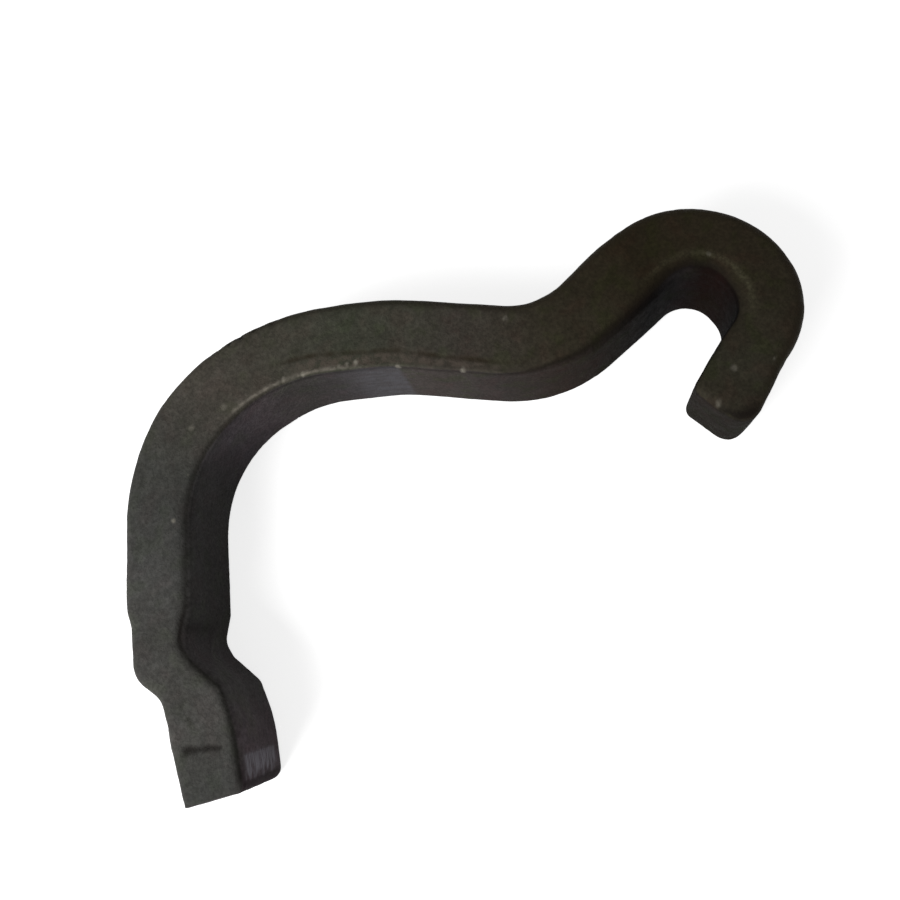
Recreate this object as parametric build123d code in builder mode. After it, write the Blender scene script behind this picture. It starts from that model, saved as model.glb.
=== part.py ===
from build123d import *
import os
from math import asin, atan2, degrees, radians, sqrt, tan

# Rail anchor: one forged steel bar, bent in one plane, that grips the foot of a flat-bottomed rail
# from below. Sizes in mm, angles in degrees.
# +X runs across the rail foot, from the stop face to the hook. +Y points away from the rail.
# +Z runs along the rail. The bar lies on its flat side, and the middle of its depth is at Z = 0.
# The origin is the middle of the stop face, where the foot's edge bears.
# A rise is measured from the foot's underside away from the rail, and a drop towards the rail.
# A reach is measured from the stop face towards the hook.

# Rail foot that the anchor is made for
foot_width = 150.0
foot_edge = 12.0

# Bar. Its thickness is that of the leg, and each bend is thicker or thinner by its own amount.
bar_depth = 26.0
bar_thickness = 15.9
edge_radius = 2.0

# Toe, the short end beyond the stop, cut off slightly slanting. Its inner face is a little crowned.
toe_reach = -3.6
toe_drop = 39.5
toe_slant = 17.0
toe_thinning = 1.9
toe_corner_radius = 2.6
crown_share = 0.415
crown_height = 1.45
crown_spread = 0.64

# Notch in the inner face that holds the edge of the foot: shoulder, stop face and ledge
shoulder_reach = 3.1
shoulder_drop = 17.2
shoulder_radius = 3.0
stop_height = 4.4
stop_radius = 4.0
ledge_reach = 4.4
ledge_rise = 1.2
ledge_radius = 2.5

# Back of the notch, where the bar is pushed out as the notch is pressed in
neck_thinning = 0.7
neck_slant = 20.5
neck_radius = 4.9
bulge_thinning = 1.4
bulge_drop = 4.1
bulge_radius = 7.3
waist_thinning = 1.0
waist_slant = 19.7
waist_radius = 4.5
leg_start = 1.8
leg_start_radius = 9.0

# Arch, the large bend that takes the bar clear of the foot
arch_reach = 30.3
arch_rise = 49.5
arch_spread = 0.68
arch_thinning = 0.2

# Arm, which bends slightly on its way from the arch down to the seat
arm_share = 0.64
arm_lift = 3.6
arm_radius = 45.0
arm_swell = 1.4

# Seat, the bend that touches the underside of the foot
seat_setback = 33.6
seat_radius = 35.4
seat_swell = 1.1

# Hook round the far edge of the foot
hook_radius = 8.3
hook_flat = 0.8
hook_rise_angle = 6.2
crook_swell = 1.8
crook_ease = 0.8
heel_thinning = 2.7
heel_ease = 1.7

# Tip that presses on the top of the foot. Its end is cut a little off square, both in the plane of
# the bends and in the depth.
tip_angle = 25.0
tip_length = 23.8
tip_thinning = 1.0
tip_slant = 4.5
tip_lean = 3.0
tip_inner_radius = 2.6
tip_outer_radius = 4.6
tip_waste = 3.0


def direction(angle):
    """Unit vector at an angle from +X, in the plane of the bends."""
    return Vector(1, 0).rotate(Axis.Z, angle)


def crossing(point_a, angle_a, point_b, angle_b):
    """Point where two straight runs meet, each given by a point on it and its angle."""
    run_a = direction(angle_a)
    run_b = direction(angle_b)
    gap = point_b - point_a
    along = (gap.X * run_b.Y - gap.Y * run_b.X) / (run_a.X * run_b.Y - run_a.Y * run_b.X)
    return point_a + run_a * along


def outer_corner(before, corner, after, thickness):
    """Corner of the outer face, behind a corner of the inner face, with this thickness at the bend."""
    run_in = (corner - before).normalized()
    run_out = (after - corner).normalized()
    middle = (run_in + run_out).normalized()
    return corner + middle.rotate(Axis.Z, 90) * (thickness / middle.dot(run_in))


def spread_radius(before, corner, after, share):
    """Radius of a bend that takes up this share of the shorter of its two runs."""
    run_in = corner - before
    run_out = after - corner
    shorter = min(run_in.length, run_out.length)
    return share * shorter / tan(radians(run_in.get_angle(run_out) / 2))


def tangent_angle(point, centre, radius):
    """Angle of the run from a point that passes below a circle and touches it."""
    gap = centre - point
    return degrees(atan2(gap.Y, gap.X) - asin(radius / gap.length))


underside = foot_edge / 2

# Corners of the inner face, from the toe to the tip
toe_inner = Vector(toe_reach, underside - toe_drop)
shoulder = Vector(shoulder_reach, underside - shoulder_drop)
toe_face_run = toe_inner - shoulder
crown = shoulder + toe_face_run * crown_share + toe_face_run.normalized().rotate(Axis.Z, 90) * crown_height
stop_bottom = Vector(0, -stop_height / 2)
stop_top = Vector(0, stop_height / 2)
ledge = Vector(ledge_reach, underside + ledge_rise)
arch = Vector(arch_reach, underside + arch_rise)

# The arm runs from the arch to the seat's round, and its bend lifts it off the straight way there
seat_centre = Vector(foot_width - seat_setback, underside + seat_radius)
arm_start = tangent_angle(arch, seat_centre, seat_radius) + arm_lift
arm_reach = sqrt((seat_centre - arch).length ** 2 - seat_radius**2)
arm = arch + direction(arm_start) * arm_share * arm_reach
arm_end = tangent_angle(arm, seat_centre, seat_radius)
seat_end = seat_centre + direction(hook_rise_angle - 90) * seat_radius
seat = crossing(arm, arm_end, seat_end, hook_rise_angle)

# The hook is one round with a short flat that bears on the foot's far edge
crook = crossing(seat_end, hook_rise_angle, Vector(foot_width, 0), -90)
crook_turn = 90 + hook_rise_angle
heel_turn = 90 - tip_angle
hook_height = hook_radius * (tan(radians(crook_turn / 2)) + tan(radians(heel_turn / 2))) + hook_flat
heel = crook - Vector(0, hook_height)
tip_run = direction(180 + tip_angle)
tip_square = direction(270 + tip_angle)
tip_inner = heel + tip_run * (tip_length + tip_waste)

# Thickness of the bar at each place
toe_thickness = bar_thickness - toe_thinning
neck_thickness = bar_thickness - neck_thinning
bulge_thickness = bar_thickness - bulge_thinning
waist_thickness = bar_thickness - waist_thinning
arch_thickness = bar_thickness - arch_thinning
arm_thickness = bar_thickness + arm_swell
seat_thickness = bar_thickness + seat_swell
crook_thickness = bar_thickness + crook_swell
heel_thickness = bar_thickness - heel_thinning
tip_thickness = bar_thickness - tip_thinning

# Corners of the outer face, from the tip back to the toe
tip_outer = tip_inner + tip_square * tip_thickness
heel_outer = outer_corner(crook, heel, tip_inner, heel_thickness)
crook_outer = outer_corner(seat, crook, heel, crook_thickness)
seat_outer = outer_corner(arm, seat, crook, seat_thickness)
arm_outer = outer_corner(arch, arm, seat, arm_thickness)
arch_outer = outer_corner(ledge, arch, arm, arch_thickness)
leg_run = (arch - ledge).normalized()
leg_outer = ledge + leg_run * leg_start + leg_run.rotate(Axis.Z, 90) * bar_thickness
waist_outer = ledge + direction(180 - waist_slant) * waist_thickness
bulge_outer = Vector(-bulge_thickness, underside - bulge_drop)
neck_outer = shoulder + direction(180 - neck_slant) * neck_thickness
toe_outer = toe_inner + direction(180 - toe_slant) * toe_thickness

# Radii that follow from the runs beside the bend
crown_radius = spread_radius(toe_inner, crown, shoulder, crown_spread)
arch_radius = spread_radius(ledge, arch, arm, arch_spread)

# Each corner of the outline with the radius of its bend, and 0 where it stays sharp
bends = [
    (toe_inner, 0),
    (crown, crown_radius),
    (shoulder, shoulder_radius),
    (stop_bottom, stop_radius),
    (stop_top, stop_radius),
    (ledge, ledge_radius),
    (arch, arch_radius),
    (arm, arm_radius),
    (seat, seat_radius),
    (crook, hook_radius),
    (heel, hook_radius),
    (tip_inner, 0),
    (tip_outer, 0),
    (heel_outer, hook_radius + heel_thickness - heel_ease),
    (crook_outer, hook_radius + crook_thickness - crook_ease),
    (seat_outer, seat_radius - seat_thickness),
    (arm_outer, arm_radius + arm_thickness),
    (arch_outer, arch_radius + arch_thickness),
    (leg_outer, leg_start_radius),
    (waist_outer, waist_radius),
    (bulge_outer, bulge_radius),
    (neck_outer, neck_radius),
    (toe_outer, 0),
]

# Plane of the tip's end, which is longest at the outer face and at the front
tip_middle = tip_square * (tip_thickness / 2)
tip_end = heel + tip_run * tip_length + tip_middle
tip_across = direction(270 + tip_angle - tip_slant)
tip_up = tip_run * tan(radians(tip_lean)) + Vector(0, 0, 1)
tip_plane = Plane(origin=tip_end, x_dir=tip_across, z_dir=tip_across.cross(tip_up))
toe_end = (toe_inner + toe_outer) / 2

with BuildPart() as rail_anchor:
    # The bent bar
    with BuildSketch(Plane.XY.offset(-bar_depth / 2)):
        with BuildLine():
            FilletPolyline(*[corner for corner, _ in bends], radius=[radius for _, radius in bends], close=True)
        make_face()
    extrude(amount=bar_depth)

    # The tip's end is cut, and the corners of both ends are rounded
    with BuildSketch(tip_plane):
        Rectangle(2 * tip_thickness, 2 * bar_depth)
    extrude(amount=3 * tip_waste, mode=Mode.SUBTRACT)
    fillet(rail_anchor.edges().filter_by(Axis.Z).sort_by_distance(toe_inner)[0], toe_corner_radius)
    cut_edges = rail_anchor.faces().sort_by_distance(tip_end)[0].edges()
    fillet(cut_edges.sort_by_distance(tip_end - tip_middle)[0], tip_inner_radius)
    cut_edges = rail_anchor.faces().sort_by_distance(tip_end)[0].edges()
    fillet(cut_edges.sort_by_distance(tip_end + tip_middle)[0], tip_outer_radius)

    # The edges are rounded all the way along both sides, but the toe's end stays as it was cut
    sides = rail_anchor.faces().sort_by(Axis.Z)
    toe_face = rail_anchor.faces().sort_by_distance(toe_end)[0]
    fillet(sides[0].edges() + sides[-1].edges() - toe_face.edges(), edge_radius)

rail_anchor.part.label = "rail_anchor"

os.makedirs("parts", exist_ok=True)
export_step(rail_anchor.part, "parts/rail_anchor.step")
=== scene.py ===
import math

import bmesh
import bpy
import numpy as np
from mathutils import Matrix, Vector, noise

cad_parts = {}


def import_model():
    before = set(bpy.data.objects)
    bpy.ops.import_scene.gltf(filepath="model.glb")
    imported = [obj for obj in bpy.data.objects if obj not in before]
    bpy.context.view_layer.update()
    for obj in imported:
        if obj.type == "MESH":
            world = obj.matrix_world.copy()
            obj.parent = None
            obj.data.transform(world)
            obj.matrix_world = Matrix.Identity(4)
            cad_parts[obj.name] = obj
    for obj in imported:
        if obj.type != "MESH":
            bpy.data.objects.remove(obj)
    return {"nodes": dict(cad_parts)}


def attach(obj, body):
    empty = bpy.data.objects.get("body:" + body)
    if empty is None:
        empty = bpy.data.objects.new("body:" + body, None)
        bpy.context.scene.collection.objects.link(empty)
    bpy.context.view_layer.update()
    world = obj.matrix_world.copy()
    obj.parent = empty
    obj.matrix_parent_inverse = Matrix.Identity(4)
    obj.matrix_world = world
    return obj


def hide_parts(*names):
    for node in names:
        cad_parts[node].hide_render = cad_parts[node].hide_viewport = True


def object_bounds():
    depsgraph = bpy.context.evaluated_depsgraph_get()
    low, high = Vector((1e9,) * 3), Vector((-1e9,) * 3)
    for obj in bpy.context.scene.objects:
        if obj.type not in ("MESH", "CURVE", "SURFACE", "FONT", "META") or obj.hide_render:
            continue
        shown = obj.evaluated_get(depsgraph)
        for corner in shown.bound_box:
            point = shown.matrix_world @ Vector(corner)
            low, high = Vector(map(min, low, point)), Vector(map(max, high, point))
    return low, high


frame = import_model()
cad_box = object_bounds()

# Sizes are in metres, in the row frame: X across the rail's foot, Y away from the rail, Z up from the floor.
# The forging's own marks are placed in mm, by three distances: along the bar's inner face from the toe,
# across the bar from that face, and below the front side. A run is where along the bar a mark starts and
# ends, and how softly. An edge place is across less below, so it is 0 on the front inner edge.
NODE = "rail_anchor"
MM = 0.001

# The CAD's form: half its depth, the round of its edges, and the length of its inner face
HALF_DEPTH = round(cad_box[1][2] / MM, 3)
EDGE_RADIUS = 2.0
BAR_LENGTH = 252.0

# The fine copy of the bar: the size of its faces, the band across and below the front inner edge where they
# are halved, and how near to the toe's sharp edges a point is moved onto them, as a share of a face
FACE_SIZE = 0.62
FINE_BAND = (6.0, 4.0)
TOE_CATCH = 0.45

# The inner face from the toe to the tip: each corner's place and the radius of its bend
INNER_CORNERS = [
    (-3.6, -33.5, 0.0),
    (1.7, -20.8, 48.0),
    (3.1, -11.2, 3.0),
    (0.0, -2.2, 4.0),
    (0.0, 2.2, 4.0),
    (4.4, 7.2, 2.5),
    (30.3, 55.5, 34.0),
    (74.7, 30.3, 45.0),
    (105.4, 4.6, 35.4),
    (150.0, 9.4, 8.3),
    (150.0, -5.9, 8.3),
    (127.5, -16.4, 0.0),
]
PATH_STEP = 0.2

# The toe's cut end, from the inner to the outer face
TOE_CUT = ((-3.6, -33.5), (-17.0, -29.4))

# The front edges get wider rounds. Near an edge, points move to and from a line that lies this far inside
# both faces, if they are within a thin skin of the surface. The marks of the inner edge keep to points that
# are this close to one of its two faces, which leaves out the bar's cut ends.
EDGE_CORE = 6.5
SKIN = 0.4
EDGE_BAND = 1.2
INNER_ROUND_RUN = (5, 246, 2.5)
OUTER_ROUND_RUN = (98, 242, 4)

# The front inner edge, by distance along the bar: how wide and how deep its round is, and the crease along
# it, with its edge place, width, depth and darkness. The darkness is painted shade along the crease, where
# the round turns away from the light.
INNER_EDGE = [
    (0, 2.6, 2.2, 0.3, 1.3, 0.05, 0.70),
    (33, 2.8, 2.2, 0.2, 1.1, 0.08, 0.60),
    (38, 4.4, 2.4, 0.9, 1.1, 0.08, 0.60),
    (42, 5.2, 2.4, 1.4, 1.2, 0.05, 0.60),
    (46, 5.0, 2.0, 0.2, 1.4, 0.05, 0.62),
    (80, 5.2, 2.0, -0.3, 1.5, 0.05, 0.65),
    (92, 3.6, 1.8, -1.0, 1.5, 0.10, 0.68),
    (106, 1.0, 1.0, -1.3, 0.8, 0.16, 0.50),
    (160, 1.0, 1.0, -1.3, 0.8, 0.16, 0.50),
    (174, 2.6, 2.0, 0.1, 1.1, 0.30, 0.80),
    (186, 5.0, 3.2, -0.2, 1.5, 0.40, 0.75),
    (198, 5.2, 3.2, -0.2, 2.2, 0.30, 0.95),
    (206, 5.2, 3.2, 0.5, 2.0, 0.30, 0.90),
    (213, 4.2, 2.6, 1.3, 1.5, 0.10, 0.85),
    (224, 2.4, 2.2, 0.2, 1.3, 0.00, 0.60),
    (236, 2.2, 2.0, 0.0, 1.2, 0.00, 0.20),
    (252, 2.0, 2.0, 0.0, 1.2, 0.00, 0.00),
]
CREASE_RUN = (2, 248, 2)
CREASE_WANDER = 0.3

# The radius of the front outer edge, which is rounder from the arch to the tip, by distance along the bar
OUTER_EDGE = [(90, 2.0), (112, 2.8), (200, 3.0), (230, 3.4), (246, 2.2)]

# How far the forging swells over its plain form at the inner and at the outer face, by distance along the
# bar. Across the bar one turns into the other between two shares of its thickness.
SWELLS = [
    (0, 0.0, 0.8),
    (14, 0.0, 0.7),
    (20, 0.0, 0.3),
    (60, 0.0, 0.2),
    (76, 0.0, 0.5),
    (86, 0.1, 0.9),
    (94, 0.3, 0.5),
    (102, 0.6, 0.2),
    (110, 0.4, 0.2),
    (124, 0.2, 0.7),
    (136, 0.1, 0.3),
    (158, 0.2, 0.4),
    (172, 0.4, 0.1),
    (180, 0.7, 0.2),
    (188, 0.8, 0.0),
    (194, 0.7, 0.5),
    (201, 0.4, 1.0),
    (208, 0.1, 0.6),
    (216, 0.2, 0.4),
    (222, 0.5, 0.6),
    (229, 0.1, 0.4),
    (237, 0.5, 0.1),
    (252, 0.5, 0.3),
]
SWELL_TURN = (0.2, 0.8)

# How much longer the forging is at each end, and from where to where it grows to that. The tip grows less at
# its inner face.
TOE_GROWTH = 0.25
TOE_END = (6, 0)
TIP_GROWTH = 0.8
TIP_END = (244, 251)
TIP_INNER_SHARE = 0.2

# Flash was knocked off along the front inner edge from the arch to the seat. It left a ridge, a groove
# beside it, and a bevel between them. The ridge moves to the edge and fades, and the groove nears the edge.
FLASH_RUN = (90, 168, 8)
RIDGE_PLACE = 0.9
RIDGE_WANDER = 0.25
RIDGE_WIDTH = 0.5
RIDGE_HEIGHT = 0.42
RIDGE_TO_EDGE = (118, 138)
RIDGE_FADE = (124, 134)
# Where the ridge is brightest, which is partly wear and partly a painted highlight
RIDGE_BRIGHT_RUN = (94, 126, 4)
GROOVE_RUN = (109, 166, 5)
GROOVE_PLACE = 5.2
GROOVE_WANDER = 0.3
GROOVE_STEPS = [(108, 124, 0.7), (120, 160, 1.7)]
GROOVE_WIDTH = 0.65
GROOVE_DEPTH = 0.22
BEVEL_DEPTH = 0.16
BEVEL_SIDE = (-1.5, 0.3)
BEVEL_WORN_RUN = (112, 160, 5)

# Chips along the outer edge of the arch
CHIPS_RUN = (98, 112, 2)
CHIP_DEPTH = 0.7

# Bright nicks on the front side: the photo's pixel where each is seen, its radius in mm and its strength
NICKS = [
    (192.3, 428.5, 0.9, 0.8),
    (223.0, 406.3, 1.1, 0.45),
    (188.0, 475.0, 0.5, 0.3),
    (173.7, 521.0, 0.8, 0.75),
    (283.0, 377.0, 0.6, 0.7),
    (302.8, 372.0, 0.7, 1.0),
    (339.0, 364.6, 0.7, 0.6),
    (347.0, 363.0, 0.7, 0.7),
    (355.5, 361.6, 0.8, 0.9),
    (397.3, 365.5, 0.9, 0.8),
    (462.8, 368.5, 1.1, 1.0),
    (505.0, 319.5, 0.7, 0.45),
    (709.0, 253.0, 0.7, 0.3),
    (735.5, 369.0, 1.1, 0.4),
    (774.0, 358.4, 0.7, 0.3),
    (720.0, 401.0, 0.8, 0.35),
]
NICK_HEIGHT = 0.12

# Small pits on the toe, darkened as painted shade: the photo's pixels where they are seen
PITS = [(181.7, 706.0), (184.8, 710.0), (191.1, 712.8), (189.3, 719.5), (191.5, 723.5)]
PIT_RADIUS = 0.55
PIT_STRENGTH = 0.5
PIT_DEPTH = 0.25

# A dent on the toe's front side: the photo's pixels at its ends, and its radius at each end in mm
DENT_ENDS = ((189.0, 749.7), (220.5, 747.0))
DENT_RADII = (1.7, 0.8)
DENT_DEPTH = 0.45

# The forging's unevenness as sums of noise, each with its height, size and seed, and thin flakes of scale.
# Lines on the bar wander and borders are ragged by noise of their own sizes.
UNEVENNESS = [(0.13, 22, 1), (0.07, 7, 2), (0.03, 2.2, 3)]
WANDER_SIZE = 9.0
RAGGED_SIZE = 1.7
FLAKE_SIZE = 5.0
FLAKE_HEIGHT = 0.04

# The rim inside the hook, partly wear and partly a painted highlight: its edge place and its strength, by
# distance along the bar
RIM_RUN = (204, 228, 6)
RIM_WIDTH = 0.8
RIM_PLACES = [(200, 4.4), (213, 4.2), (223, 3.6), (230, 3.2)]
RIM_STRENGTHS = [(203, 0.5), (213, 0.62), (220, 0.9), (225, 1.2)]

# A grey patch on the arm's inner face and a bright one on the toe's, partly rub marks and partly a painted
# sheen: where each starts and where it ends along the bar. The toe's stays clear of both its edges.
GREY_PATCH = ((119, 129), (135.8, 137.4))
TOE_PATCH = ((2.2, 4.2), (6.8, 8.0))
TOE_PATCH_HEIGHT = (2.2, 21, 1.2)

# Where shade is painted: in the bend at the ledge of the notch, at the tip's outer corner, and in a band
# along the front outer edge, which turns away from the light. The toe's corner and the tip's end also get
# dark spots.
LEDGE = 40.5
TOE_CORNER = (2.9, 1.6)
TIP_CORNER = (245, 249)
TIP_RAGGED = (248.5, 250.5)
OUTER_EDGE_SHADE_RUN = (105, 246, 8)

# Colour of the scale on the flat sides, by distance along the bar. It darkens towards the hook partly as
# browner scale and partly as painted shade, where less light falls.
FLAT_COLOURS = [
    (0, (0.051, 0.051, 0.047)),
    (8, (0.059, 0.058, 0.053)),
    (16, (0.072, 0.070, 0.064)),
    (30, (0.067, 0.065, 0.059)),
    (60, (0.066, 0.065, 0.061)),
    (76, (0.055, 0.055, 0.049)),
    (94, (0.075, 0.067, 0.055)),
    (106, (0.062, 0.057, 0.045)),
    (125, (0.057, 0.059, 0.043)),
    (150, (0.060, 0.053, 0.043)),
    (175, (0.042, 0.036, 0.024)),
    (205, (0.023, 0.018, 0.010)),
    (222, (0.030, 0.024, 0.015)),
    (240, (0.034, 0.031, 0.021)),
    (252, (0.040, 0.035, 0.024)),
]

# Colour of the scale on the inner face, partly its own purple brown and partly the light and shade that fall
# on it painted in, darkest inside the hook. On the outer face it fades between the two distances below, so
# that there only the tip has it.
SIDE_COLOURS = [
    (0, (0.140, 0.115, 0.125)),
    (12, (0.138, 0.115, 0.121)),
    (22, (0.112, 0.105, 0.103)),
    (33, (0.112, 0.103, 0.103)),
    (42, (0.082, 0.078, 0.075)),
    (76, (0.089, 0.085, 0.083)),
    (88, (0.132, 0.116, 0.125)),
    (98, (0.118, 0.099, 0.104)),
    (109, (0.068, 0.062, 0.058)),
    (121, (0.068, 0.061, 0.062)),
    (143, (0.075, 0.064, 0.059)),
    (160, (0.050, 0.043, 0.040)),
    (175, (0.043, 0.033, 0.028)),
    (190, (0.020, 0.017, 0.014)),
    (202, (0.006, 0.006, 0.006)),
    (209, (0.024, 0.022, 0.022)),
    (216, (0.011, 0.006, 0.005)),
    (222, (0.010, 0.006, 0.005)),
    (230, (0.004, 0.004, 0.004)),
    (252, (0.023, 0.020, 0.017)),
]
SIDE_COLOUR_END = (242, 236)

# Tints of the scale's mottling and flakes, and colours of rub marks and wear. The toe's patch is also a
# painted sheen, the rim and the ridge are also painted highlights, and the outer band, the groove and the
# dark marks are painted shade, with some dark spots.
GREEN_TINT = (0.90, 1.05, 0.80)
PURPLE_TINT = (1.10, 0.95, 0.98)
FLAKE_TINT = (1.12, 1.13, 1.15)
ARM_PATCH_COLOUR = (0.118, 0.114, 0.123)
TOE_RUB_AND_SHEEN_COLOUR = (0.35, 0.33, 0.37)
BEVEL_COLOUR = (0.105, 0.084, 0.068)
RIM_WEAR_AND_HIGHLIGHT_COLOUR = (0.100, 0.094, 0.056)
OUTER_EDGE_SHADE_COLOUR = (0.024, 0.018, 0.011)
GROOVE_SHADE_COLOUR = (0.028, 0.021, 0.012)
SHADE_AND_SPOT_COLOUR = (0.008, 0.006, 0.005)
RIDGE_WEAR_AND_HIGHLIGHT_COLOUR = (0.300, 0.270, 0.225)
NICK_COLOUR = (0.26, 0.24, 0.20)

# The scale's grain: sizes of its speckle, blotches, patches, clouds and crust, and the depth of its bump
SPECKLE_SIZE = 0.8
BLOTCH_SIZE = 1.9
PATCH_SIZE = 6.0
CLOUD_SIZE = 11.0
CRUST_SIZE = 0.3
BUMP_DEPTH = 0.28
SPECULAR_LEVEL = 0.03

# The camera, from the photo's perspective
CAMERA_PLACE = (0.075689, -0.046826, 0.201863)
CAMERA_RIGHT = (0.82702, -0.54245, -0.14762)
CAMERA_DOWN = (-0.56217, -0.79838, -0.21576)
CAMERA_LENS = 34.0
SENSOR_WIDTH = 36.0
PHOTO_SIZE = 900

# The floor: half its width in metres, its colour in the light that it throws on the bar, and the colour and
# glow that are seen
FLOOR_HALF = 3.0
FLOOR_COLOUR = (0.35, 0.35, 0.35)
SEEN_FLOOR_COLOUR = (0.8, 0.8, 0.8)
SEEN_FLOOR_GLOW = 0.76

# The light, in metres and watts
SKY_STRENGTH = 0.21
KEY_PLACE = (-0.34, -0.10, 0.36)
KEY_TARGET = (0.05, 0.01, 0.0)
KEY_SIZE = 0.3
KEY_POWER = 2.5


def inner_path():
    """Points at even steps along the inner face, its left-hand normals there, and the distance, in mm."""
    stretches = []
    for i, (x, y, radius) in enumerate(INNER_CORNERS):
        corner = np.array([x, y])
        if radius == 0:
            stretches.append(corner[None, :])
            continue
        back = np.array(INNER_CORNERS[i - 1][:2]) - corner
        ahead = np.array(INNER_CORNERS[i + 1][:2]) - corner
        back /= np.linalg.norm(back)
        ahead /= np.linalg.norm(ahead)
        half = math.acos(back @ ahead) / 2
        turn = math.pi - 2 * half
        middle = (back + ahead) / np.linalg.norm(back + ahead)
        centre = corner + middle * radius / math.sin(half)
        spoke = corner + back * radius / math.tan(half) - centre
        side = np.sign(back[1] * ahead[0] - back[0] * ahead[1])
        angles = side * np.linspace(0, turn, 3 + int(radius * turn / PATH_STEP))
        cos, sin = np.cos(angles)[:, None], np.sin(angles)[:, None]
        stretches.append(centre + cos * spoke + sin * np.array([-spoke[1], spoke[0]]))
    corners = np.vstack(stretches)
    distance = np.concatenate([[0], np.cumsum(np.linalg.norm(np.diff(corners, axis=0), axis=1))])
    run = np.arange(0, distance[-1], PATH_STEP)
    path = np.column_stack([np.interp(run, distance, corners[:, k]) for k in (0, 1)])
    heading = np.gradient(path, axis=0)
    heading /= np.linalg.norm(heading, axis=1)[:, None]
    return path, np.column_stack([-heading[:, 1], heading[:, 0]]), run


def bar_coordinates(plan):
    """Where points lie on the bar, in mm: along it, across it from the inner face, and the way across."""
    path, normals, run = inner_path()
    nearest = np.empty(len(plan), int)
    batch = 2000
    for start in range(0, len(plan), batch):
        part = plan[start:start + batch]
        gap = ((part[:, None, :] - path[None, :, :]) ** 2).sum(axis=2)
        nearest[start:start + batch] = gap.argmin(axis=1)
    way = normals[nearest]
    across = ((plan - path[nearest]) * way).sum(axis=1)
    return run[nearest], across, way


def thickness_at(along, across):
    """The bar's thickness at each point's place along it, evened out over a few mm."""
    window = 5
    bins = np.zeros(int(along.max()) + 2)
    np.maximum.at(bins, along.astype(int), across)
    even = np.convolve(np.pad(bins, window // 2, "edge"), np.full(window, 1 / window), "valid")
    return np.interp(along, np.arange(len(bins)) + 0.5, even)


def along_bar(table, along):
    """Each column of a table that goes by distance along the bar, at each point."""
    stations, *columns = np.transpose(table)
    return [np.interp(along, stations, column) for column in columns]


def smooth(value, low, high):
    """0 below low, 1 above high and a smooth rise between them. It falls where low is the higher one."""
    t = np.clip((value - low) / (high - low), 0, 1)
    return t * t * (3 - 2 * t)


def stretch(value, low, high, soft):
    """1 between low and high, falling smoothly to 0 outside."""
    return smooth(value, low - soft, low + soft) * (1 - smooth(value, high - soft, high + soft))


def bell(value, middle, width):
    """1 at the middle, falling smoothly to both sides."""
    return np.exp(-(((value - middle) / width) ** 2))


def noise_at(points, size, seed):
    """Smooth noise from about -1 to 1, with bumps of about this size in the points' own unit."""
    shift = Vector((seed * 7.31, seed * 3.17, seed * 5.73))
    return np.array([noise.noise(Vector(p) / size + shift) for p in points])


def seen_place(x, y):
    """The place on the front side, in mm, that the photo shows at a pixel."""
    focal = CAMERA_LENS / SENSOR_WIDTH * PHOTO_SIZE
    right, down = np.array(CAMERA_RIGHT), np.array(CAMERA_DOWN)
    middle = PHOTO_SIZE / 2
    ray = (x - middle) / focal * right + (y - middle) / focal * down + np.cross(right, down)
    place = np.array(CAMERA_PLACE)
    return ((place + ray * (HALF_DEPTH * MM - place[2]) / ray[2]) / MM)[:2]


def places(mesh):
    """The mesh's points as rows, in metres."""
    co = np.empty(len(mesh.vertices) * 3)
    mesh.vertices.foreach_get("co", co)
    return co.reshape(-1, 3)


def facing(mesh):
    """The mesh's outward directions at its points, as rows."""
    normal = np.empty(len(mesh.vertices) * 3)
    mesh.vertex_normals.foreach_get("vector", normal)
    return normal.reshape(-1, 3)


def refine(mesh, near):
    """Divides the faces whose corners are all near, so that fine lines have enough faces."""
    form = bmesh.new()
    form.from_mesh(mesh)
    form.verts.ensure_lookup_table()
    faces = [f for f in form.faces if all(near[v.index] for v in f.verts)]
    edges = list({e for f in faces for e in f.edges})
    bmesh.ops.subdivide_edges(form, edges=edges, cuts=1, use_grid_fill=True)
    form.to_mesh(mesh)
    form.free()


def square_toe(piece):
    """Moves the points that lie beside the sharp edges of the toe's cut end onto them."""
    co = places(piece.data)
    start, end = np.array(TOE_CUT) * MM
    run = (end - start) / np.linalg.norm(end - start)
    normal = np.array([run[1], -run[0]])
    near = TOE_CATCH * FACE_SIZE * MM
    gap = (co[:, :2] - start) @ normal
    beside = (np.abs(gap) < near) & (np.abs(co[:, 2]) > HALF_DEPTH * MM - near)
    co[beside, :2] -= gap[beside, None] * normal
    co[beside, 2] = np.sign(co[beside, 2]) * HALF_DEPTH * MM
    piece.data.vertices.foreach_set("co", co.ravel())


def apply_modifiers(piece):
    """Makes the form that the piece's modifiers give its own."""
    graph = bpy.context.evaluated_depsgraph_get()
    piece.data = bpy.data.meshes.new_from_object(piece.evaluated_get(graph))
    piece.modifiers.clear()


def fine_copy(node):
    """A finely and evenly divided copy of the node's form, with smaller faces along the front inner edge."""
    piece = bpy.data.objects.new("forged_bar", node.data.copy())
    bpy.context.scene.collection.objects.link(piece)
    remesh = piece.modifiers.new("remesh", "REMESH")
    remesh.mode = "VOXEL"
    remesh.voxel_size = FACE_SIZE * MM
    apply_modifiers(piece)
    points = places(piece.data) / MM
    _, across, _ = bar_coordinates(points[:, :2])
    below = HALF_DEPTH - points[:, 2]
    refine(piece.data, (across < FINE_BAND[0]) & (below < FINE_BAND[1]))
    wrap = piece.modifiers.new("wrap", "SHRINKWRAP")
    wrap.target = node
    wrap.wrap_method = "NEAREST_SURFACEPOINT"
    apply_modifiers(piece)
    square_toe(piece)
    return piece


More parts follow.
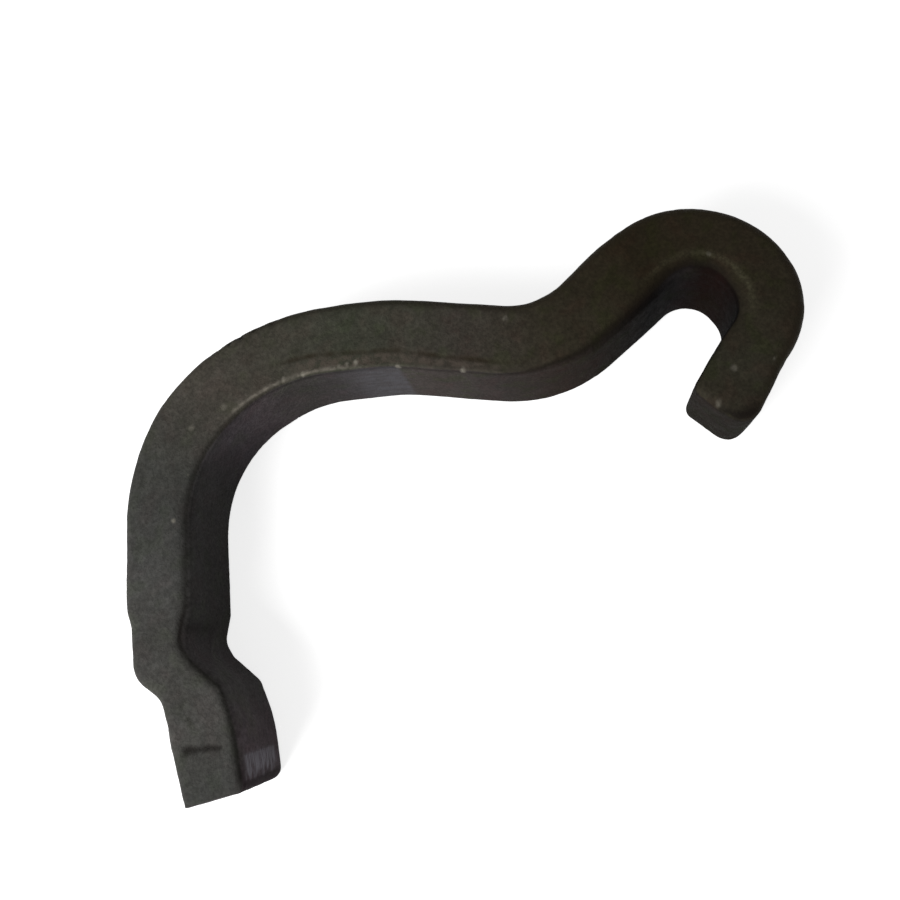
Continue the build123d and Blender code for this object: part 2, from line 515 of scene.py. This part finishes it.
def edge_move(inward, below, wide, deep):
    """How far points near a front edge move inward and down, so that its round gets this width and depth."""
    tiny = 1e-6
    in_round = (inward < EDGE_RADIUS) & (below < EDGE_RADIUS)
    depth = np.minimum(inward, below)
    depth = np.where(in_round, EDGE_RADIUS - np.hypot(inward - EDGE_RADIUS, below - EDGE_RADIUS), depth)
    near = (inward < EDGE_CORE) & (below < EDGE_CORE) & (np.abs(depth) < SKIN)
    spoke = np.column_stack([inward, below]) - EDGE_CORE
    reach = np.maximum(np.linalg.norm(spoke, axis=1), tiny)
    way = spoke / reach[:, None]
    to_flat = EDGE_CORE / np.maximum(np.abs(way).max(axis=1), tiny)
    size = np.column_stack([wide, deep])
    start = (EDGE_CORE - size) / size
    run = way / size
    square = (run**2).sum(axis=1)
    half = (start * run).sum(axis=1)
    rest = (start**2).sum(axis=1) - 1
    to_round = (np.sqrt(np.maximum(half**2 - square * rest, 0)) - half) / square
    on_round = (EDGE_CORE + to_round[:, None] * way < size).all(axis=1)
    amount = np.where(near, np.where(on_round, to_round, to_flat) - reach, 0)
    return way * amount[:, None]


class BarPoints:
    """The fine copy's points: where each lies on the bar, in mm, and what it is part of, from 0 to 1."""

    def __init__(self, mesh):
        self.start = places(mesh)
        self.out = facing(mesh)
        self.up = self.out[:, 2]
        self.points = self.start / MM
        self.plan = self.points[:, :2]
        self.along, self.across, self.way = bar_coordinates(self.plan)
        self.thickness = thickness_at(self.along, self.across)
        self.from_outer = self.thickness - self.across
        self.below = HALF_DEPTH - self.points[:, 2]
        self.outward = (self.out[:, :2] * self.way).sum(axis=1)

        # The faces and the edge, told apart by which way the surface faces
        self.front = smooth(self.up, 0.8, 0.97)
        self.inner = (self.across < 0.7) * smooth(np.abs(self.up), 0.75, 0.3)
        self.outer_edge = smooth(self.up * self.outward, 0.1, 0.4)

        # Noise along the bar for lines that wander, and all over it for ragged borders
        self.station = np.column_stack([self.along, np.zeros(len(self.along)), np.zeros(len(self.along))])
        self.wander = noise_at(self.station, WANDER_SIZE, seed=4)
        self.ragged = noise_at(self.points, RAGGED_SIZE, seed=6)


class InnerEdge:
    """The front inner edge: how its round moves the points, where they lie beside it, and its crease."""

    def __init__(self, at):
        wide, deep, self.crease_place, self.crease_width, self.crease_depth, self.crease_shade = along_bar(
            INNER_EDGE, at.along
        )
        self.move = edge_move(at.across, at.below, wide, deep) * stretch(at.along, *INNER_ROUND_RUN)[:, None]
        self.place = at.across + self.move[:, 0] - at.below - self.move[:, 1]
        beside = (at.across < EDGE_CORE) & (at.below < EDGE_CORE)
        self.near = beside & (np.minimum(at.across, at.below) < EDGE_BAND)


def flash_marks(at, edge):
    """What is left of the flash: the ridge on the edge, the groove beside it, and the bevel between them."""
    flash = stretch(at.along, *FLASH_RUN)
    ridge_place = RIDGE_PLACE - RIDGE_PLACE * smooth(at.along, *RIDGE_TO_EDGE)
    ridge_place += RIDGE_WANDER * at.wander
    ridge = edge.near * bell(edge.place, ridge_place, RIDGE_WIDTH) * flash
    ridge *= 0.7 + 0.55 * noise_at(at.station, 3.0, seed=5)
    ridge *= 1 - 0.5 * smooth(at.along, *RIDGE_FADE)
    groove_place = GROOVE_PLACE
    for low, high, step in GROOVE_STEPS:
        groove_place = groove_place - step * smooth(at.along, low, high)
    groove_place += GROOVE_WANDER * at.wander
    groove = at.front * bell(at.across, groove_place, GROOVE_WIDTH) * stretch(at.along, *GROOVE_RUN)
    bevel = at.front * (1 - smooth(at.across, *(groove_place + side for side in BEVEL_SIDE))) * flash
    return ridge, groove, bevel


def crease_mark(at, edge):
    """A crease along the front inner edge, with painted shade in it. It is deepest in the bend before the
    hook.
    """
    crease = bell(edge.place, edge.crease_place + CREASE_WANDER * at.wander, edge.crease_width)
    return edge.near * crease * stretch(at.along, *CREASE_RUN)


def chip_marks(at):
    """Chips along the outer edge of the arch."""
    return at.outer_edge * stretch(at.along, *CHIPS_RUN) * smooth(at.ragged, 0.0, 0.35)


def dent_mark(at):
    """The dent on the toe's front side, which is wider and deeper at its first end."""
    start, end = [seen_place(*pixel) for pixel in DENT_ENDS]
    run = end - start
    share = np.clip((at.plan - start) @ run / (run @ run), 0, 1)
    gap = np.linalg.norm(at.plan - start - share[:, None] * run, axis=1)
    radius = DENT_RADII[0] + (DENT_RADII[1] - DENT_RADII[0]) * share
    return at.front * smooth(gap + 0.25 * at.ragged, radius, 0.1) * (1 - 0.3 * share)


def pit_marks(at):
    """The small pits on the toe's front side."""
    pits = np.zeros(len(at.plan))
    for pixel in PITS:
        gap = np.linalg.norm(at.plan - seen_place(*pixel), axis=1)
        pits += PIT_STRENGTH * bell(gap, 0, PIT_RADIUS) * at.front
    return pits


def nick_marks(at):
    """The bright nicks on the front side, ragged at their borders."""
    nicks = np.zeros(len(at.plan))
    for x, y, radius, strength in NICKS:
        gap = np.linalg.norm(at.plan - seen_place(x, y), axis=1) + 0.3 * at.ragged
        nicks = np.maximum(nicks, strength * smooth(gap, radius, 0.2 * radius) * smooth(at.up, 0.1, 0.3))
    return nicks


def surface_marks(at, edge):
    """The strength of each mark that shapes the surface."""
    ridge, groove, bevel = flash_marks(at, edge)
    return {
        "ridge": ridge,
        "groove": groove,
        "bevel": bevel,
        "crease": crease_mark(at, edge),
        "chips": chip_marks(at),
        "dent": dent_mark(at),
        "pits": pit_marks(at),
        "nicks": nick_marks(at),
        "flakes": smooth(noise_at(at.points, FLAKE_SIZE, seed=7) + 0.35 * at.ragged, 0.12, 0.24),
    }


def surface_height(at, edge, form):
    """How far the marks and the forging's own unevenness raise the surface, in mm."""
    uneven = sum(height * noise_at(at.points, size, seed) for height, size, seed in UNEVENNESS)
    along_edge = RIDGE_HEIGHT * form["ridge"] - GROOVE_DEPTH * form["groove"] - BEVEL_DEPTH * form["bevel"]
    along_edge = along_edge - edge.crease_depth * form["crease"] - CHIP_DEPTH * form["chips"]
    spots = -DENT_DEPTH * form["dent"] - PIT_DEPTH * form["pits"] + NICK_HEIGHT * form["nicks"]
    return along_edge + (spots + uneven + FLAKE_HEIGHT * form["flakes"])


def moved_places(at, edge, height):
    """The points' new places in metres, with all the moves together. The underside stays on the floor."""
    radius = along_bar(OUTER_EDGE, at.along)[0]
    outer = edge_move(at.from_outer, at.below, radius, radius)
    outer *= stretch(at.along, *OUTER_ROUND_RUN)[:, None]
    inner_swell, outer_swell = along_bar(SWELLS, at.along)
    share = smooth(at.across / at.thickness, *SWELL_TURN)
    outward = edge.move[:, 0] - outer[:, 0] - inner_swell * (1 - share) + outer_swell * share
    growth = TIP_GROWTH * smooth(at.along, *TIP_END) * (TIP_INNER_SHARE + (1 - TIP_INNER_SHARE) * share)
    growth -= TOE_GROWTH * smooth(at.along, *TOE_END)
    heading = np.column_stack([at.way[:, 1], -at.way[:, 0]])
    shift = at.out * height[:, None]
    shift[:, :2] += at.way * outward[:, None]
    shift[:, :2] += heading * growth[:, None]
    shift[:, 2] -= edge.move[:, 1] + outer[:, 1]
    co = at.start + shift * MM
    co[:, 2] = np.maximum(co[:, 2], -HALF_DEPTH * MM)
    return co


def rim_mark(at, edge):
    """The rim inside the hook, partly wear and partly a painted highlight."""
    place = along_bar(RIM_PLACES, at.along)[0]
    strength = along_bar(RIM_STRENGTHS, at.along)[0]
    rim = edge.near * bell(edge.place, place, RIM_WIDTH) * stretch(at.along, *RIM_RUN)
    return rim * (strength * (0.85 + 0.3 * noise_at(at.station, 5.0, seed=9)))


def toe_patch_mark(at):
    """The bright patch on the toe's inner face, partly rub marks and partly a painted sheen, ragged towards
    the toe's end.
    """
    start, end = TOE_PATCH
    patch = at.inner * smooth(at.along + 2.4 * at.ragged, *start) * (1 - smooth(at.along, *end))
    return patch * stretch(at.below, *TOE_PATCH_HEIGHT)


def grey_patch_mark(at):
    """A paler grey patch on the arm's inner face."""
    start, end = GREY_PATCH
    return at.inner * smooth(at.along, *start) * (1 - smooth(at.along, *end))


def side_mark(at, edge, up):
    """The share of the side's painted light and shade at each point: all on the inner face and on the inner
    edge's round past the crease, and little on most of the outer.
    """
    side = smooth(np.abs(up), 0.5, 0.15)
    # Painted shade past the crease, where the inner edge's round turns away from the light
    side = np.maximum(side, edge.near * smooth(edge.place, edge.crease_place, edge.crease_place - 1.0))
    return side * (1 - 0.85 * smooth(at.outward, 0.1, 0.5) * smooth(at.along, *SIDE_COLOUR_END))


def shade_and_spots_mark(at, edge, side):
    """Painted shade in the ledge's bend with a painted shadow at its edge, painted shade at the tip's outer
    corner, and dark spots at the toe's corner and ragged ones at the tip's end.
    """
    # Painted shade in the concave bend of the ledge
    ledge = 0.4 * at.inner * bell(at.along, LEDGE, 1.6) * smooth(at.below, 20, 10)
    toe_corner = side * smooth(at.along + 0.6 * at.ragged, *TOE_CORNER) * (at.across < 3)
    # Painted shade at the tip's outer corner
    tip_corner = smooth(at.up, 0.3, 0.7) * smooth(at.along, *TIP_CORNER) * smooth(at.from_outer, 4.0, 1.5)
    shade_and_spots = ledge + 0.75 * toe_corner + 0.95 * tip_corner
    shade_and_spots += 0.3 * smooth(at.along, *TIP_RAGGED) * smooth(at.ragged, -0.2, 0.3)
    # A painted shadow on the edge at the ledge
    ledge_edge = 0.5 * edge.near * bell(at.along, LEDGE, 4.5)
    shade_and_spots += ledge_edge * smooth(edge.place, 1.9, 0.9) * smooth(edge.place, -2.2, -1.2)
    return shade_and_spots


def material_marks(at, edge, form, up):
    """The numbers that the mesh carries for its material."""
    side = side_mark(at, edge, up)
    # Painted shade in the crease and in the hollows of the dent, pits and chips, with the shade and spots
    # below
    dark = edge.crease_shade * form["crease"] + form["dent"] + form["pits"] + form["chips"]
    # Painted shade on the round of the front outer edge, which turns away from the light
    outer_edge_shade = smooth(at.from_outer, 3.2, 1.0) * smooth(at.up, 0.0, 0.3)
    return {
        "along": at.along,
        "below": at.below,
        "side": side,
        "dark": np.clip(dark + shade_and_spots_mark(at, edge, side), 0, 1),
        "groove": form["groove"],
        "bevel": form["bevel"] * stretch(at.along, *BEVEL_WORN_RUN),
        "outer_edge_shade": outer_edge_shade * stretch(at.along, *OUTER_EDGE_SHADE_RUN),
        "ridge": form["ridge"] * (0.15 + 0.85 * stretch(at.along, *RIDGE_BRIGHT_RUN)),
        "nicks": form["nicks"],
        "rim": rim_mark(at, edge),
        "grey_patch": grey_patch_mark(at),
        "toe_patch": toe_patch_mark(at),
        "flakes": form["flakes"],
    }


def forged_bar():
    """The bar with its forged surface, on the form of the CAD node."""
    piece = fine_copy(frame["nodes"][NODE])
    mesh = piece.data
    at = BarPoints(mesh)
    edge = InnerEdge(at)
    form = surface_marks(at, edge)
    co = moved_places(at, edge, surface_height(at, edge, form))
    mesh.vertices.foreach_set("co", co.ravel())
    mesh.update()
    for name, values in material_marks(at, edge, form, facing(mesh)[:, 2]).items():
        layer = mesh.attributes.new(name, "FLOAT", "POINT")
        layer.data.foreach_set("value", values.astype(np.float32))
    mesh.polygons.foreach_set("use_smooth", [True] * len(mesh.polygons))
    mesh.update()
    mesh.materials.clear()
    mesh.materials.append(scale_material())
    return piece


class Shading:
    """The node tree of a material or of the sky, built up from small steps."""

    def __init__(self, owner, output="ShaderNodeOutputMaterial"):
        owner.use_nodes = True
        self.nodes = owner.node_tree.nodes
        self.links = owner.node_tree.links
        self.nodes.clear()
        self.output = self.add(output)

    def add(self, kind, **settings):
        """A new node with these settings."""
        node = self.nodes.new(kind)
        for name, value in settings.items():
            setattr(node, name, value)
        return node

    def put(self, socket, value):
        """Sets a socket to a number or colour, or links it."""
        if isinstance(value, bpy.types.NodeSocket):
            self.links.new(value, socket)
        elif isinstance(value, tuple) and len(value) == 3 and len(socket.default_value) == 4:
            socket.default_value = (*value, 1)
        else:
            socket.default_value = value

    def seen(self):
        """1 for rays to the camera, off a shiny surface or through a clear one, and 0 for the others."""
        rays = self.add("ShaderNodeLightPath").outputs
        seen = self.math("ADD", rays["Is Camera Ray"], rays["Is Glossy Ray"])
        return self.math("ADD", seen, rays["Is Transmission Ray"])

    def mark(self, name):
        """A number that the mesh carries at its points."""
        return self.add("ShaderNodeAttribute", attribute_name=name).outputs["Fac"]

    def place(self):
        """The point's own place, in mm."""
        sized = self.add("ShaderNodeVectorMath", operation="MULTIPLY")
        self.put(sized.inputs[0], self.add("ShaderNodeTexCoord").outputs["Object"])
        self.put(sized.inputs[1], (1 / MM, 1 / MM, 1 / MM))
        return sized.outputs[0]

    def bar_place(self, along, below):
        """The point's place on the inner face, in mm along and below, each scaled."""
        joined = self.add("ShaderNodeCombineXYZ")
        self.put(joined.inputs[0], self.math("MULTIPLY", self.mark("along"), along))
        self.put(joined.inputs[1], self.math("MULTIPLY", self.mark("below"), below))
        return joined.outputs[0]

    def noise(self, where, size, detail=2.0, rough=0.5):
        """Noise about 0.5, with bumps of about this size."""
        texture = self.add("ShaderNodeTexNoise")
        self.put(texture.inputs["Vector"], where)
        self.put(texture.inputs["Scale"], 1 / size)
        self.put(texture.inputs["Detail"], detail)
        self.put(texture.inputs["Roughness"], rough)
        return texture.outputs[0]

    def span(self, value, low, high, start=0.0, end=1.0):
        """The value's way from low to high, turned into a smooth way from start to end."""
        ranged = self.add("ShaderNodeMapRange", interpolation_type="SMOOTHSTEP")
        for i, number in enumerate((value, low, high, start, end)):
            self.put(ranged.inputs[i], number)
        return ranged.outputs[0]

    def math(self, operation, a, b):
        """One step of arithmetic."""
        step = self.add("ShaderNodeMath", operation=operation)
        self.put(step.inputs[0], a)
        self.put(step.inputs[1], b)
        return step.outputs[0]

    def times(self, a, b):
        """One number times another."""
        return self.math("MULTIPLY", a, b)

    def mix(self, share, a, b, blend="MIX"):
        """Two colours mixed by a share. The node's colour sockets are inputs 6 and 7 and output 2."""
        mixed = self.add("ShaderNodeMix", data_type="RGBA", blend_type=blend)
        self.put(mixed.inputs[0], share)
        self.put(mixed.inputs[6], a)
        self.put(mixed.inputs[7], b)
        return mixed.outputs[2]

    def ramp(self, value, stops):
        """Colours that follow a value from 0 to 1."""
        band = self.add("ShaderNodeValToRGB")
        while len(band.color_ramp.elements) < len(stops):
            band.color_ramp.elements.new(0.5)
        for element, (position, colour) in zip(band.color_ramp.elements, stops):
            element.position = position
            element.color = (*colour, 1)
        self.put(band.inputs[0], value)
        return band.outputs[0]


def scale_colour(s, where):
    """The scale's colour along the bar and on the inner face, partly painted light and shade, mottled in
    patches of green and of purple brown.
    """
    share = s.math("DIVIDE", s.mark("along"), BAR_LENGTH)
    flat = s.ramp(share, [(place / BAR_LENGTH, colour) for place, colour in FLAT_COLOURS])
    side = s.ramp(share, [(place / BAR_LENGTH, colour) for place, colour in SIDE_COLOURS])
    colour = s.mix(s.mark("side"), flat, side)
    patches = s.noise(where, PATCH_SIZE, detail=3.0)
    strength = s.span(s.mark("along"), 80, 190, 0.3, 0.75)
    green = s.times(s.span(patches, 0.52, 0.66), strength)
    colour = s.mix(green, colour, GREEN_TINT, "MULTIPLY")
    purple = s.times(s.span(patches, 0.48, 0.34), strength)
    return s.mix(purple, colour, PURPLE_TINT, "MULTIPLY")


def grained(s, colour, where, speckle, blotches):
    """The colour with its grain: fine speckle, coarser blotches, wide clouds, and paler flakes."""
    clouds = s.noise(where, CLOUD_SIZE)
    grain = s.times(s.span(speckle, 0.32, 0.68, 0.82, 1.18), s.span(blotches, 0.32, 0.68, 0.88, 1.12))
    grain = s.times(grain, s.span(clouds, 0.35, 0.65, 0.93, 1.07))
    tone = s.add("ShaderNodeCombineColor")
    for socket in tone.inputs[:3]:
        s.put(socket, grain)
    colour = s.mix(1.0, colour, tone.outputs[0], "MULTIPLY")
    return s.mix(s.times(s.mark("flakes"), 0.6), colour, FLAKE_TINT, "MULTIPLY")


def rubbed_and_sheen(s, colour, blotches):
    """The colour with its patches: grey on the arm, a bright streaky one on the toe that is partly rub marks
    and partly a painted sheen, and spots of rub marks on the bevel.
    """
    smears = s.noise(s.bar_place(along=0.25, below=0.5), 1.0, detail=3.0, rough=0.6)
    share = s.times(s.mark("grey_patch"), s.span(smears, 0.36, 0.62, 0.5, 1))
    colour = s.mix(share, colour, ARM_PATCH_COLOUR)
    # The toe's bright patch is partly rub marks and partly a painted sheen
    streaks = s.noise(s.bar_place(along=0.15, below=1.6), 1.0, detail=3.0)
    share = s.times(s.mark("toe_patch"), s.span(streaks, 0.4, 0.6, 0.25, 1))
    colour = s.mix(share, colour, TOE_RUB_AND_SHEEN_COLOUR)
    share = s.times(s.mark("bevel"), s.span(blotches, 0.35, 0.6, 0.1, 0.75))
    return s.mix(share, colour, BEVEL_COLOUR)


def wear_shade_and_highlights(s, colour, speckle, blotches, metal):
    """The colour with the hook's rim and the ridge, partly wear and partly painted highlights, painted shade
    on the front outer edge, in the groove and in the dark marks, with some dark spots, and metal where the
    flash came off.
    """
    # The rim is partly wear and partly a painted highlight
    rim = s.times(s.mark("rim"), s.span(speckle, 0.35, 0.65, 0.35, 1))
    colour = s.mix(s.times(rim, 0.7), colour, RIM_WEAR_AND_HIGHLIGHT_COLOUR)
    # Painted shade on the round of the front outer edge
    colour = s.mix(s.times(s.mark("outer_edge_shade"), 0.5), colour, OUTER_EDGE_SHADE_COLOUR)
    # Painted shade in the groove beside the flash ridge, in streaks
    groove_streaks = s.noise(s.bar_place(along=0.12, below=0.8), 1.0, detail=3.0, rough=0.6)
    share = s.times(s.mark("groove"), s.span(groove_streaks, 0.4, 0.62, 0.3, 0.85))
    colour = s.mix(share, colour, GROOVE_SHADE_COLOUR)
    # Painted shade in the crease, hollows, ledge and tip corner, and dark spots at the toe's corner and
    # tip's end
    colour = s.mix(s.times(s.mark("dark"), 0.85), colour, SHADE_AND_SPOT_COLOUR)
    # The ridge is partly wear and partly a painted highlight
    line = s.times(s.mark("ridge"), s.span(blotches, 0.38, 0.58, 0.35, 1))
    colour = s.mix(s.times(line, 0.9), colour, RIDGE_WEAR_AND_HIGHLIGHT_COLOUR)
    return s.mix(s.times(metal, 0.9), colour, NICK_COLOUR)


def crust_bump(s, where, speckle, blotches):
    """The small relief of the scale: fine crust and the steps at its blotches."""
    crust = s.times(speckle, 0.5)
    crust = s.math("ADD", crust, s.times(s.noise(where, CRUST_SIZE), 0.25))
    crust = s.math("ADD", crust, s.times(s.span(blotches, 0.5, 0.54), 0.12))
    bump = s.add("ShaderNodeBump")
    s.put(bump.inputs["Height"], crust)
    s.put(bump.inputs["Strength"], 1.0)
    s.put(bump.inputs["Distance"], BUMP_DEPTH * MM)
    return bump.outputs[0]


def scale_material():
    """Dark forging scale on steel."""
    material = bpy.data.materials.new("forged_scale")
    s = Shading(material)
    shader = s.add("ShaderNodeBsdfPrincipled")
    s.put(s.output.inputs["Surface"], shader.outputs[0])
    where = s.place()
    speckle = s.noise(where, SPECKLE_SIZE, detail=3.0, rough=0.7)
    blotches = s.noise(where, BLOTCH_SIZE, detail=3.0, rough=0.55)
    metal = s.times(s.mark("nicks"), s.span(speckle, 0.35, 0.6, 0.7, 1))
    colour = grained(s, scale_colour(s, where), where, speckle, blotches)
    colour = rubbed_and_sheen(s, colour, blotches)
    s.put(shader.inputs["Base Color"], wear_shade_and_highlights(s, colour, speckle, blotches, metal))
    s.put(shader.inputs["Metallic"], s.times(metal, 0.35))
    rough = s.math("ADD", s.span(blotches, 0.3, 0.7, 0.5, 0.66), s.times(s.mark("side"), 0.27))
    s.put(shader.inputs["Roughness"], s.math("SUBTRACT", rough, s.times(metal, 0.15)))
    s.put(shader.inputs["Specular IOR Level"], SPECULAR_LEVEL)
    s.put(shader.inputs["Normal"], crust_bump(s, where, speckle, blotches))
    return material


def floor_material():
    """White where it is seen, with the bar's shadow kept, and a plain grey for the light that it throws."""
    material = bpy.data.materials.new("pale_floor")
    s = Shading(material)
    plain = s.add("ShaderNodeBsdfDiffuse")
    s.put(plain.inputs["Color"], FLOOR_COLOUR)
    pale = s.add("ShaderNodeBsdfDiffuse")
    s.put(pale.inputs["Color"], SEEN_FLOOR_COLOUR)
    glow = s.add("ShaderNodeEmission")
    s.put(glow.inputs["Strength"], SEEN_FLOOR_GLOW)
    white = s.add("ShaderNodeAddShader")
    s.put(white.inputs[0], pale.outputs[0])
    s.put(white.inputs[1], glow.outputs[0])
    mixed = s.add("ShaderNodeMixShader")
    s.put(mixed.inputs[0], s.seen())
    s.put(mixed.inputs[1], plain.outputs[0])
    s.put(mixed.inputs[2], white.outputs[0])
    s.put(s.output.inputs["Surface"], mixed.outputs[0])
    return material


def floor():
    """A wide plain floor that the bar lies on."""
    low = cad_box[0][2]
    half = FLOOR_HALF
    mesh = bpy.data.meshes.new("floor")
    corners = [(-half, -half, low), (half, -half, low), (half, half, low), (-half, half, low)]
    mesh.from_pydata(corners, [], [(0, 1, 2, 3)])
    mesh.materials.append(floor_material())
    piece = bpy.data.objects.new("floor", mesh)
    bpy.context.scene.collection.objects.link(piece)


def lamp(name, place, target, size, power):
    """A soft square lamp that points at its target."""
    data = bpy.data.lights.new(name, "AREA")
    data.size = size
    data.energy = power
    piece = bpy.data.objects.new(name, data)
    piece.location = place
    piece.rotation_euler = (Vector(target) - Vector(place)).to_track_quat("-Z", "Y").to_euler()
    bpy.context.scene.collection.objects.link(piece)


def world(strength):
    """An even pale sky that lights the bar. It is white where it is seen."""
    sky = bpy.data.worlds.new("sky")
    bpy.context.scene.world = sky
    s = Shading(sky, "ShaderNodeOutputWorld")
    back = s.add("ShaderNodeBackground")
    s.put(back.inputs["Color"], (1.0, 1.0, 1.0))
    s.put(back.inputs["Strength"], s.span(s.seen(), 0.0, 1.0, strength, 1.0))
    s.put(s.output.inputs["Surface"], back.outputs[0])


def camera():
    """The photo's camera."""
    data = bpy.data.cameras.new("camera")
    data.lens = CAMERA_LENS
    data.sensor_width = SENSOR_WIDTH
    data.clip_start = 0.01
    piece = bpy.data.objects.new("camera", data)
    right = Vector(CAMERA_RIGHT)
    up = -Vector(CAMERA_DOWN)
    back = right.cross(up)
    turn = Matrix((right, up, back)).transposed().to_4x4()
    piece.matrix_world = Matrix.Translation(CAMERA_PLACE) @ turn
    bpy.context.scene.collection.objects.link(piece)
    bpy.context.scene.camera = piece


bar = forged_bar()
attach(bar, "root")
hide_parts(NODE)

floor()
world(SKY_STRENGTH)
lamp("key", KEY_PLACE, KEY_TARGET, KEY_SIZE, KEY_POWER)
camera()
bpy.context.scene.view_settings.view_transform = "Standard"
